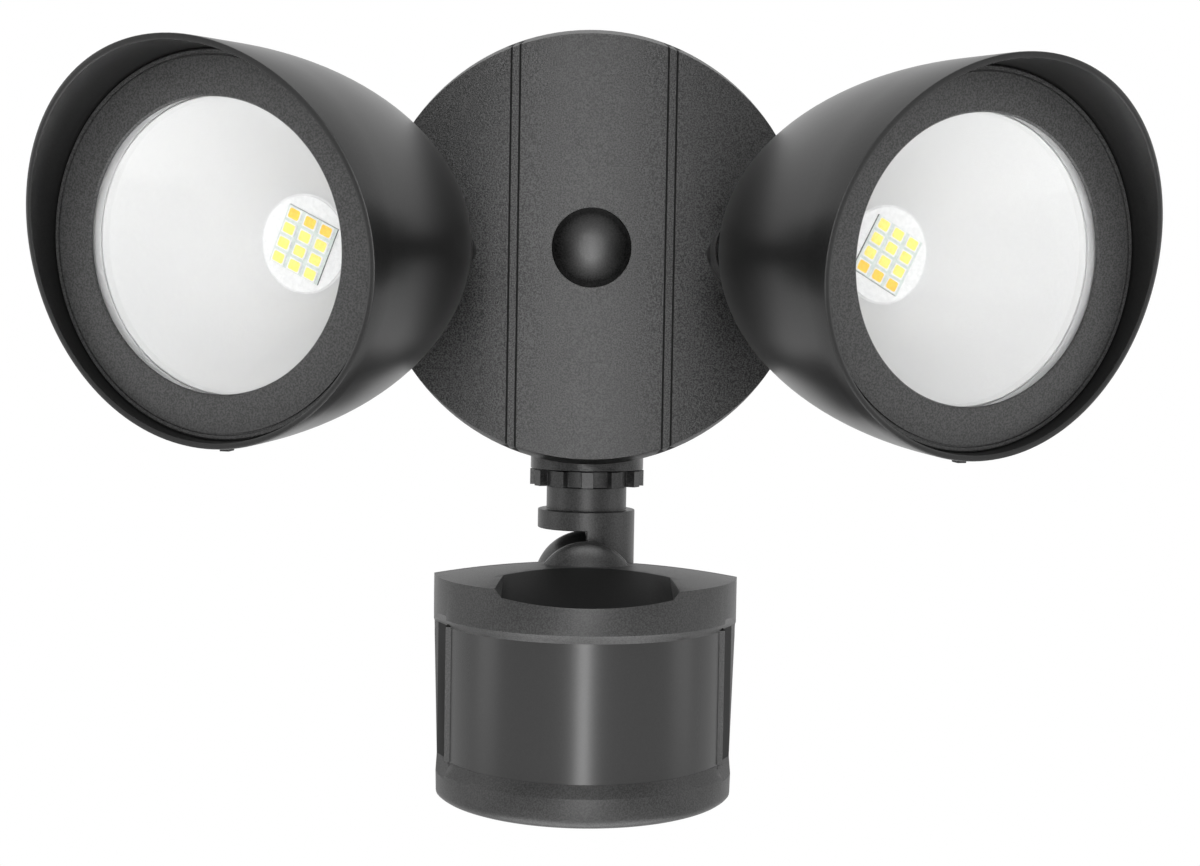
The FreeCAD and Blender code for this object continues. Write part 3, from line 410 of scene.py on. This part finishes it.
def recess_face(spot, facing):
    """True in the sensor's dished top and on the walls of its side recesses, which get painted shade: a near
    black for the shade that falls there.
    """
    rim = abs(spot.x) < 30 and -57.6 < spot.y < -46 and spot.z > -101.5 and -0.1 < facing.z < 0.93
    dish = abs(facing.x) < 0.02 and -0.3 < facing.y < -0.2 and spot.z > -100
    flank = abs(facing.x) > 0.85 and -0.5 < facing.y < -0.35 and abs(facing.z) < 0.05 \
        and abs(spot.x) < FLANK and -150 < spot.z < -110
    return rim or dish or flank


# Faces that get painted shade, a near black for the shade in grooves and recesses.
PAINTED_SHADE_FACES = {"canopy_housing": groove_face, "sensor_front_housing": recess_face}


def soften(node, width, coat=None):
    """A copy of a CAD node with rounded edges, shown in its place."""
    source = NODES[node]
    bm = bmesh.new()
    bm.from_mesh(source.data)
    bmesh.ops.remove_doubles(bm, verts=bm.verts, dist=2e-6)
    bmesh.ops.dissolve_limit(bm, angle_limit=math.radians(0.1), verts=bm.verts, edges=bm.edges)
    if node in SHAPERS:
        SHAPERS[node](bm)
    item = put(node + "_finish", bm, [coat or SLOTS[node]], source["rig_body"], node, 30)
    # Painted shade: faces in grooves and recesses take a near-black material for the shade that falls there.
    if node in PAINTED_SHADE_FACES:
        item.data.materials.append(MATS["painted_shade_black"])
        for poly in item.data.polygons:
            if PAINTED_SHADE_FACES[node]((item.matrix_world @ poly.center) / MM, poly.normal):
                poly.material_index = 1
    tool = item.modifiers.new("round", "BEVEL")
    tool.width = width * MM
    tool.segments = 2
    tool.limit_method = "ANGLE"
    tool.angle_limit = math.radians(28)
    tool.harden_normals = True


# ------------------------------------------------------------------ lamp heads
def visor_front(radius, turn):
    """How far the visor's rim reaches forward: a cylinder cut that leans back towards the chin."""
    lean = (VISOR_TOP - VISOR_SIDE) * VISOR_LEAN / HEAD_R
    long = math.sqrt(1 + lean * lean)
    up = radius * math.sin(turn)
    return FACE + VISOR_SIDE + VISOR_R / long - math.sqrt(VISOR_R ** 2 - (up + VISOR_R * lean / long) ** 2)


def rim_point(radius, back):
    return lambda turn: (radius, -visor_front(radius, turn) + back)


def shell(side, way):
    """A head's shell with its visor, the ear of its knuckle and the small drip nub under the rim."""
    bm = bmesh.new()
    inner, seat, place = HEAD_R - HOOD, -FACE + BEZEL_DEEP + 0.05, head_matrix(way)
    edge = [(inner - 1.8, seat), (inner, seat), rim_point(inner, 0.5), rim_point(inner + 0.1, 0.15),
            rim_point(inner + 0.4, 0.0), rim_point(HEAD_R - 0.4, 0.0), rim_point(HEAD_R - 0.1, 0.15),
            rim_point(HEAD_R, 0.5), (HEAD_R, -FACE + BAND)]
    for k in range(1, 33):
        along = (FACE - BAND - BACK) * math.sin(math.pi / 2 * k / 32)
        edge.append((HEAD_R * math.sqrt(1 - (along / DOME) ** 2), -FACE + BAND + along))
    edge += [(edge[-1][0] - 0.6, -BACK), (0.01, -BACK)]
    spin(bm, edge, 160, place, closed=False)
    ear = bmesh.ops.create_cone(bm, cap_ends=True, segments=48, radius1=EAR_R * MM, radius2=EAR_R * MM,
                                depth=EAR_WIDE * MM)["verts"]
    turn = Matrix.Translation((EAR_X * MM, 0, 0)) @ Matrix.Rotation(math.pi / 2, 4, "Y")
    bmesh.ops.transform(bm, matrix=place @ turn, verts=ear)
    block(bm, (EAR_WIDE, 11.6, 2 * EAR_R), (EAR_X, -5.8, 0), place)
    block(bm, (2.4, 2.2, 2.0), (0, -85.9, -HEAD_R), place)
    put(side + "_shell_finish", bm, ["shell_black"], side + "_head", side + "_head_housing")


def bezel(side, way):
    """A flat ring with a thin window edge and a fine groove inside its outer edge."""
    bm = bmesh.new()
    out, win, y = HEAD_R - HOOD - 0.1, WINDOW, -FACE
    spin(bm, [(win + 0.8, y + BEZEL_LIP), (win, y + 0.7), (win + 0.1, y + 0.35), (win + 0.4, y + 0.05),
              (win + 0.8, y), (out - 1.6, y), (out - 1.5, y + 0.5), (out - 1.2, y + 0.5), (out - 1.1, y),
              (out - 0.4, y), (out, y + 0.4), (out, y + BEZEL_DEEP), (GLASS + 0.1, y + BEZEL_DEEP),
              (GLASS + 0.1, y + BEZEL_LIP)], 160, head_matrix(way))
    put(side + "_bezel_finish", bm, ["bezel_coat"], side + "_head", side + "_bezel")


def seal(side, way):
    """The lens seal, drawn back to the edge of the glass so that the bezel hides it."""
    bm = bmesh.new()
    inner, outer, start = GLASS - 1.2, GLASS - 0.1, -FACE + CONE_START
    spin(bm, [(inner, start - 0.05), (outer, start - 0.05), (outer, start - 1.1), (inner, start - 1.1)],
         96, head_matrix(way))
    put(side + "_lens_seal_finish", bm, ["rubber_black"], side + "_head", side + "_lens_seal")


def cone_share(part):
    """The reflector's opening at a part of its depth, from 1 at the mouth to 0 at the hole."""
    steps = [(0.0, 1.0), (0.18, 0.872), (0.38, 0.71), (0.58, 0.52), (0.78, 0.29), (0.9, 0.138), (1.0, 0.0)]
    for (near, wide), (far, narrow) in zip(steps, steps[1:]):
        if part <= far:
            return wide + (narrow - wide) * (part - near) / (far - near)
    return 0.0


def reflector(side, way):
    """A bowed cone with a flange behind the glass and a fine lip at its mouth."""
    bm = bmesh.new()
    start, rows, inside = -FACE + CONE_START, 28, []
    for k in range(rows + 1):
        part = k / rows
        shifts = (-0.06, 0, 0.06) if 0 < k < rows else (0,)
        share = sum(cone_share(min(1, max(0, part + shift))) for shift in shifts) / len(shifts)
        inside.append((CONE_HOLE + (CONE_MOUTH - CONE_HOLE) * share, start + CONE_DEEP * part))
    outside = [(radius + CONE_WALL, y) for radius, y in reversed(inside)]
    outside[-1] = (CONE_MOUTH + 2.4, start + CONE_WALL)
    flange = [(GLASS, start + CONE_WALL), (GLASS, start)]
    lip = [(CONE_MOUTH + 0.5, start), (CONE_MOUTH + 0.5, start + 0.7), (CONE_MOUTH + 0.2, start + 0.7),
           (CONE_MOUTH + 0.2, start)]
    spin(bm, inside + outside + flange + lip, 128, head_matrix(way))
    put(side + "_reflector_finish", bm, ["white_cone"], side + "_head", side + "_reflector")


def chips(side, way):
    """A square plate on a white disc, with lamp packages that have a rounded yellow window each. The plate's
    sides are painted dark, as painted shade along its edge.
    """
    bm = bmesh.new()
    place = head_matrix(way) @ Matrix.Translation((0, (-FACE + BOARD_BACK) * MM, 0)) \
        @ Matrix.Rotation(BOARD_TURN, 4, "Y")
    front = (place.to_3x3() @ Vector((0, -1, 0))).normalized()
    mats = ["package_white", "phosphor", "phosphor_deep", "lamp_bed", "bed_edge_shade", "zinc_steel"]
    package, yellow, deep, bed, bed_side_shade, wire = range(len(mats))

    def lay(size, at, mat, cap=None, round_off=0.0):
        """A small box with one material, or another on its front, and rounded upright corners."""
        faces = block(bm, size, at, place)
        for face in faces:
            face.normal_update()
            face.material_index = cap if cap is not None and face.normal.dot(front) > 0.9 else mat
        if round_off:
            edges = dict.fromkeys(edge for face in faces for edge in face.edges)
            along = [edge for edge in edges
                     if abs((edge.verts[0].co - edge.verts[1].co).normalized().dot(front)) > 0.9]
            bmesh.ops.bevel(bm, geom=along, offset=round_off * MM, segments=4, profile=0.5, affect="EDGES")

    disc = bmesh.ops.create_cone(bm, cap_ends=True, segments=96, radius1=BOARD_R * MM,
                                 radius2=BOARD_R * MM, depth=0.3 * MM)["verts"]
    bmesh.ops.transform(bm, matrix=place @ Matrix.Translation((0, -0.15 * MM, 0))
                        @ Matrix.Rotation(math.pi / 2, 4, "X"), verts=disc)
    # Painted shade: the bed's sides take a dark colour that stands for the shade along its edge.
    lay((14.7, 0.75, 14.9), (0.2, -0.5, 0), bed_side_shade, bed)
    deep_line = 3 if way < 0 else 0
    for column in range(3):
        for line in range(4):
            x, z = (column - 1) * LAMP_PITCH[0], (line - 1.5) * LAMP_PITCH[1]
            lay((LAMP_LONG, 0.3, LAMP_WIDE), (x, -1.0, z), package)
            lay((3.05, 0.06, 2.5), (x, -1.17, z), deep if line == deep_line else yellow, round_off=0.45)
            lay((0.25, 0.05, 1.3), (x + 2.1, -0.9, z), wire)
    put(side + "_led_chips_finish", bm, mats, side + "_head", side + "_led_chips")


# ------------------------------------------------------------------ canopy and sensor
def boss_sleeve(side, way):
    """Closes the side of a head boss on the canopy, where the arm's shank comes close to it."""
    bm = bmesh.new()
    outer, inner, foot, end = BOSS_R + 0.04, BOSS_R - 0.3, -45.4, -55.4
    spin(bm, [(outer, foot), (outer, end + 0.2), (inner, end), (inner, foot)], 96,
         Matrix.Translation(Vector((way * BOSS[0], 0, BOSS[2])) * MM))
    put(side + "_boss_sleeve", bm, ["textured_black"], "canopy")


def plug():
    """Rubber plug: a domed cap with a tight edge, and its skirt."""
    bm = bmesh.new()
    ball = (PLUG_R ** 2 + PLUG_RISE ** 2) / (2 * PLUG_RISE)
    cap = [(0.01, -CANOPY_DEPTH - PLUG_RISE)]
    for k in range(1, 25):
        radius = PLUG_R * math.sin(math.pi / 2 * k / 24)
        cap.append((radius, -CANOPY_DEPTH - math.sqrt(ball ** 2 - radius ** 2) + ball - PLUG_RISE))
    cap += [(PLUG_R - 0.03, -CANOPY_DEPTH + 4), (PLUG_R - 2, -CANOPY_DEPTH + 4), (PLUG_R - 2, -CANOPY_DEPTH),
            (0.01, -CANOPY_DEPTH)]
    spin(bm, cap, 96, Matrix.Identity(4), closed=False)
    put("screw_plug_finish", bm, ["plug_rubber"], "plug", "screw_plug")


def arch_dome():
    """The rounded front of the sensor's knuckle cover, above its crowned top."""
    bm = bmesh.new()
    ball = bmesh.ops.create_uvsphere(bm, u_segments=64, v_segments=32, radius=1)["verts"]
    bmesh.ops.transform(bm, verts=ball, matrix=Matrix.Translation(Vector(ARCH_AT) * MM)
                        @ Matrix.Diagonal((*(size * MM for size in ARCH_SIZE), 1)))
    split(bm, whole(bm), (0, ARCH_AT[1] * MM, 0), (0, 1, 0), clear_outer=True)
    split(bm, whole(bm), (0, 0, ARCH_FOOT * MM), (0, 0, 1), clear_inner=True)
    put("sensor_arch_finish", bm, ["sensor_plastic"], "sensor")


def window_frame():
    """A dark strip of painted shade, standing for the shaded gap, and a narrow upright rib beside each edge
    of the sensor window.
    """
    bm = bmesh.new()
    for way in (-1, 1):
        # The first block of each pair is painted shade: a near-black strip where the gap would lie in shade.
        for index, (left, right, back) in enumerate(((38.2, 38.8, -54.0), (38.8, 40.4, -50.0))):
            faces = block(bm, (right - left, back - FRAME_FRONT, FRAME_TALL),
                          (way * (left + right) / 2, (FRAME_FRONT + back) / 2, FRAME_MID))
            for face in faces:
                face.material_index = index
    put("sensor_window_frame", bm, ["painted_shade_black", "sensor_plastic"], "sensor", None)


for side, way in (("left", -1), ("right", 1)):
    for piece in (shell, bezel, reflector, seal, chips, boss_sleeve):
        piece(side, way)
    soften(side + "_lock_nut", 0.35, "arm_coat")
    soften(side + "_arm", 0.4, "arm_coat")
plug()
arch_dome()
window_frame()
soften("canopy_housing", 0.35)
soften("sensor_lock_nut", 0.4, "arm_coat")
soften("sensor_arm", 0.45, "arm_coat")
soften("sensor_front_housing", 0.5)
soften("sensor_rear_housing", 0.5)


# ------------------------------------------------------------------ stage, light and camera
def maths(tree, operation, *values):
    node = tree.nodes.new("ShaderNodeMath")
    node.operation = operation
    for value, socket in zip(values, node.inputs):
        tree.links.new(value, socket)
    return node.outputs["Value"]


def seen_rays(tree):
    """1 for camera, glossy and transmission rays, 0 for the rest."""
    path = tree.nodes.new("ShaderNodeLightPath")
    seen = path.outputs["Is Camera Ray"]
    for kind in ("Is Glossy Ray", "Is Transmission Ray"):
        seen = maths(tree, "MAXIMUM", seen, path.outputs[kind])
    return seen


def pale_floor():
    """A plain floor far below the light, which fades to the white of the world with distance."""
    bpy.ops.mesh.primitive_plane_add(size=8, location=(0, 0, -1.0))
    floor = bpy.context.object
    floor.name = "floor"
    mat, tree, bsdf, coord = shader("pale_floor")
    tree.links.new(blend(tree, noise(tree, coord, 3.0), grey(0.86), grey(0.9)), bsdf.inputs["Base Color"])
    bsdf.inputs["Roughness"].default_value = 0.9
    glow = tree.nodes.new("ShaderNodeEmission")
    both = tree.nodes.new("ShaderNodeMixShader")
    reach = tree.nodes.new("ShaderNodeVectorMath")
    reach.operation = "LENGTH"
    tree.links.new(coord, reach.inputs[0])
    fade = ramp(tree, reach.outputs["Value"], 0.93, 1.0, 0.3, 2.2)
    tree.links.new(maths(tree, "MULTIPLY", seen_rays(tree), fade), both.inputs["Fac"])
    tree.links.new(bsdf.outputs["BSDF"], both.inputs[1])
    tree.links.new(glow.outputs["Emission"], both.inputs[2])
    tree.links.new(both.outputs["Shader"], tree.nodes["Material Output"].inputs["Surface"])
    floor.data.materials.append(mat)


MIDDLE = (0, -0.08, -0.04)


def softbox(name, at, size, power):
    """A rectangular lamp that faces the middle of the light."""
    data = bpy.data.lights.new(name, "AREA")
    data.shape = "RECTANGLE"
    data.size, data.size_y = size
    data.energy = power
    lamp = bpy.data.objects.new(name, data)
    lamp.location = at
    lamp.rotation_euler = (Vector(MIDDLE) - Vector(at)).to_track_quat("-Z", "Y").to_euler()
    bpy.context.scene.collection.objects.link(lamp)


pale_floor()
softbox("key_top", (0.0, -0.3, 1.0), (1.3, 0.8), 13)
softbox("left_side", (-1.25, -0.26, 0.1), (0.45, 1.1), 2.0)
softbox("right_side", (1.25, -0.26, 0.1), (0.45, 1.1), 1.7)
softbox("front_strip", (-0.02, -1.5, -0.09), (0.16, 1.3), 10)
softbox("under", (0.0, -0.35, -0.85), (1.4, 0.8), 10.5)

world = bpy.data.worlds.new("studio")
bpy.context.scene.world = world
world.use_nodes = True
tree = world.node_tree
back = tree.nodes["Background"]
back.inputs["Color"].default_value = (1, 1, 1, 1)
tree.links.new(ramp(tree, seen_rays(tree), 0.12, 1.0, 0.0, 1.0), back.inputs["Strength"])

# The camera of the photograph. FOCAL and PHOTO_WIDE are in its pixels, FILM in millimetres.
RX, RY, RZ, FOCAL, PHOTO_WIDE, FILM = 0.041, -0.022, 0.017, 1600.0, 1200.0, 36.0
EYE = Vector((-0.00694, -0.51592, -0.03483))
level = Matrix(((1, 0, 0), (0, 0, -1), (0, 1, 0)))
turn = (Matrix.Rotation(RZ, 3, "Z") @ Matrix.Rotation(RX, 3, "X") @ Matrix.Rotation(RY, 3, "Y")) @ level
camera = bpy.data.objects.new("camera", bpy.data.cameras.new("camera"))
camera.data.sensor_width = FILM
camera.data.lens = FOCAL * FILM / PHOTO_WIDE
camera.matrix_world = Matrix.Translation(EYE) @ Matrix((turn[0], -turn[1], -turn[2])).transposed().to_4x4()
bpy.context.scene.collection.objects.link(camera)
bpy.context.scene.camera = camera
bpy.context.scene.view_settings.view_transform = "Standard"
